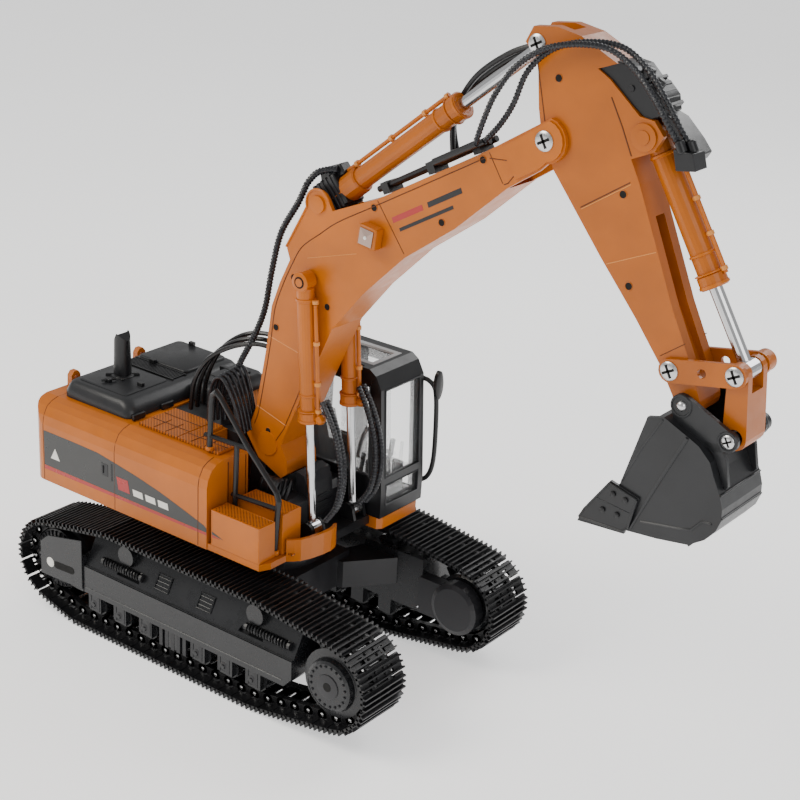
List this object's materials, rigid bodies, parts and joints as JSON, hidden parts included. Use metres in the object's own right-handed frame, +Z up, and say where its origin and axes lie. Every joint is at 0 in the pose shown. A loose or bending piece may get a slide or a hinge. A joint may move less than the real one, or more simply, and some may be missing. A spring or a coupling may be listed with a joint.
{
  "type": "toy tracked excavator",
  "caption": "Remote-controlled tracked toy excavator with turning house, cab, boom, arm, bucket and motor cylinders.",
  "frame": {"origin": "on the ground under the middle of the machine's box in the pose shown", "axes": "+X forward, towards the bucket; +Y to the machine's left, the cab side; +Z up"},
  "size_m": [0.5604, 0.195, 0.502],
  "materials": {
    "arm_orange": "satin orange moulding",
    "battery_wrap": "shrink wrap",
    "black_plastic": "satin",
    "board_green": "solder mask",
    "boom_orange": "satin orange moulding",
    "bucket_black": "satin",
    "cab_glass": "clear tinted",
    "chassis_plastic": "satin",
    "cover_plastic": "satin grey moulding",
    "cylinder_chrome": "polished",
    "cylinder_tube": "satin orange tube",
    "drive_plastic": "satin",
    "frame_plastic": "satin",
    "hose_rubber": "ribbed",
    "house_orange": "satin orange moulding",
    "lamp_white": "gloss",
    "motor_steel": "brushed",
    "seat_plastic": "matt",
    "slew_steel": "brushed",
    "track_plastic": "satin moulded black",
    "wheel_plastic": "satin"
  },
  "bodies": {
    "undercarriage": {"chassis": "chassis_plastic", "slew_ring_lower": "slew_steel", "track_frame_right": "frame_plastic", "track_frame_left": "frame_plastic", "track_loop_right": "track_plastic", "track_loop_left": "track_plastic", "idler_yoke_right": "frame_plastic", "idler_yoke_left": "frame_plastic", "final_drive_right": "drive_plastic", "final_drive_left": "drive_plastic"},
    "sprocket_right": {"sprocket_right": "wheel_plastic"},
    "sprocket_left": {"sprocket_left": "wheel_plastic"},
    "idler_right": {"idler_right": "wheel_plastic"},
    "idler_left": {"idler_left": "wheel_plastic"},
    "boom_rods": {"boom_rod_right": "cylinder_chrome", "boom_rod_left": "cylinder_chrome", "hose_cylinder_right": "hose_rubber", "hose_cylinder_left": "hose_rubber"},
    "boom": {"boom": "boom_orange", "work_lamp": "lamp_white", "boom_pipe": "black_plastic", "hose_arm_loop": "hose_rubber"},
    "boom_barrels": {"boom_barrel_right": "cylinder_tube", "boom_barrel_left": "cylinder_tube"},
    "arm_barrel": {"arm_barrel": "cylinder_tube"},
    "arm_rod": {"arm_rod": "cylinder_chrome"},
    "arm": {"arm": "arm_orange"},
    "bucket_barrel": {"bucket_barrel": "cylinder_tube"},
    "bucket_rod": {"bucket_rod": "cylinder_chrome"},
    "rocker": {"rocker": "arm_orange"},
    "bucket_link": {"bucket_link": "arm_orange"},
    "bucket": {"bucket": "bucket_black"},
    "house": {"battery": "battery_wrap", "boom_pedestal": "black_plastic", "cab_base": "house_orange", "cab_frame": "black_plastic", "centre_cover": "black_plastic", "console": "seat_plastic", "counterweight": "house_orange", "cylinder_bracket": "black_plastic", "engine_bay": "house_orange", "engine_cover": "cover_plastic", "exhaust": "cover_plastic", "handrail": "black_plastic", "hose_boom_back": "hose_rubber", "left_body": "house_orange", "lower_screen": "cab_glass", "main_board": "board_green", "mirror_rail": "black_plastic", "platform": "house_orange", "right_body": "house_orange", "roof_glass": "cab_glass", "seat": "seat_plastic", "side_glass_right": "cab_glass", "slew_ring_upper": "slew_steel", "step_high": "house_orange", "step_low": "house_orange", "swing_motor": "motor_steel", "tread_deck": "house_orange", "windscreen": "cab_glass"}
  },
  "joints": [
    {"name": "sprocket_right_spin", "type": "hinge", "parent": "undercarriage", "child": "sprocket_right", "pos_m": [0.03571, -0.075, 0.048], "axis": [0, 1, 0], "continuous": true},
    {"name": "sprocket_left_spin", "type": "hinge", "parent": "undercarriage", "child": "sprocket_left", "pos_m": [0.03571, 0.075, 0.048], "axis": [0, 1, 0], "continuous": true},
    {"name": "idler_right_spin", "type": "hinge", "parent": "undercarriage", "child": "idler_right", "pos_m": [-0.24429, -0.075, 0.044], "axis": [0, 1, 0], "continuous": true},
    {"name": "idler_left_spin", "type": "hinge", "parent": "undercarriage", "child": "idler_left", "pos_m": [-0.24429, 0.075, 0.044], "axis": [0, 1, 0], "continuous": true},
    {"name": "swing", "type": "hinge", "parent": "undercarriage", "child": "house", "pos_m": [-0.10429, 0, 0.084], "axis": [0, 0, 1], "continuous": true},
    {"name": "boom_lift", "type": "hinge", "parent": "house", "child": "boom", "pos_m": [-0.09279, 0, 0.166], "axis": [0, -1, 0], "range_deg": [-32, 5], "deforming": ["hose_boom_back", "hose_cylinder_right", "hose_cylinder_left"]},
    {"name": "boom_rod_tilt", "type": "hinge", "parent": "house", "child": "boom_rods", "pos_m": [-0.04229, 0, 0.1165], "axis": [0, -1, 0], "range_deg": [-24.44, 4.24]},
    {"name": "boom_barrel_tilt", "type": "hinge", "parent": "boom", "child": "boom_barrels", "pos_m": [-0.05529, 0, 0.302], "axis": [0, -1, 0], "range_deg": [-1.76, 8.56]},
    {"name": "arm_swing", "type": "hinge", "parent": "boom", "child": "arm", "pos_m": [0.12671, 0, 0.4337], "axis": [0, -1, 0], "range_deg": [-20, 15], "deforming": ["hose_arm_loop"]},
    {"name": "arm_barrel_tilt", "type": "hinge", "parent": "boom", "child": "arm_barrel", "pos_m": [-0.05129, 0, 0.356], "axis": [0, -1, 0], "range_deg": [-3, 2.38]},
    {"name": "arm_rod_tilt", "type": "hinge", "parent": "arm", "child": "arm_rod", "pos_m": [0.11331, 0, 0.49], "axis": [0, -1, 0], "range_deg": [-13.62, 18]},
    {"name": "bucket_curl", "type": "hinge", "parent": "arm", "child": "bucket", "pos_m": [0.23931, 0, 0.2936], "axis": [0, -1, 0], "range_deg": [-54, 20]},
    {"name": "rocker_turn", "type": "hinge", "parent": "arm", "child": "rocker", "pos_m": [0.22671, 0, 0.3117], "axis": [0, -1, 0], "range_deg": [-36.46, 13.82]},
    {"name": "bucket_barrel_tilt", "type": "hinge", "parent": "arm", "child": "bucket_barrel", "pos_m": [0.19201, 0, 0.4475], "axis": [0, -1, 0], "range_deg": [-5.63, 2.4]},
    {"name": "link_turn", "type": "hinge", "parent": "rocker", "child": "bucket_link", "pos_m": [0.26971, 0, 0.3198], "axis": [0, -1, 0], "range_deg": [-2.4, 5.63]},
    {"name": "bucket_rod_tilt", "type": "hinge", "parent": "rocker", "child": "bucket_rod", "pos_m": [0.26971, 0, 0.3198], "axis": [0, -1, 0], "range_deg": [-11.92, 31.33]}
  ],
  "couplings": [
    {"joint": "idler_right_spin", "follows": "sprocket_right_spin", "ratio": 1},
    {"joint": "idler_left_spin", "follows": "sprocket_left_spin", "ratio": 1},
    {"joint": "boom_rod_tilt", "follows": "boom_lift", "ratio": 0.748},
    {"joint": "boom_barrel_tilt", "follows": "boom_lift", "ratio": -0.252},
    {"joint": "arm_barrel_tilt", "follows": "arm_swing", "ratio": 0.125},
    {"joint": "arm_rod_tilt", "follows": "arm_swing", "ratio": -0.875},
    {"joint": "rocker_turn", "follows": "bucket_curl", "ratio": 0.666},
    {"joint": "bucket_barrel_tilt", "follows": "bucket_curl", "ratio": 0.095},
    {"joint": "link_turn", "follows": "bucket_curl", "ratio": -0.095},
    {"joint": "bucket_rod_tilt", "follows": "bucket_curl", "ratio": -0.571}
  ]
}
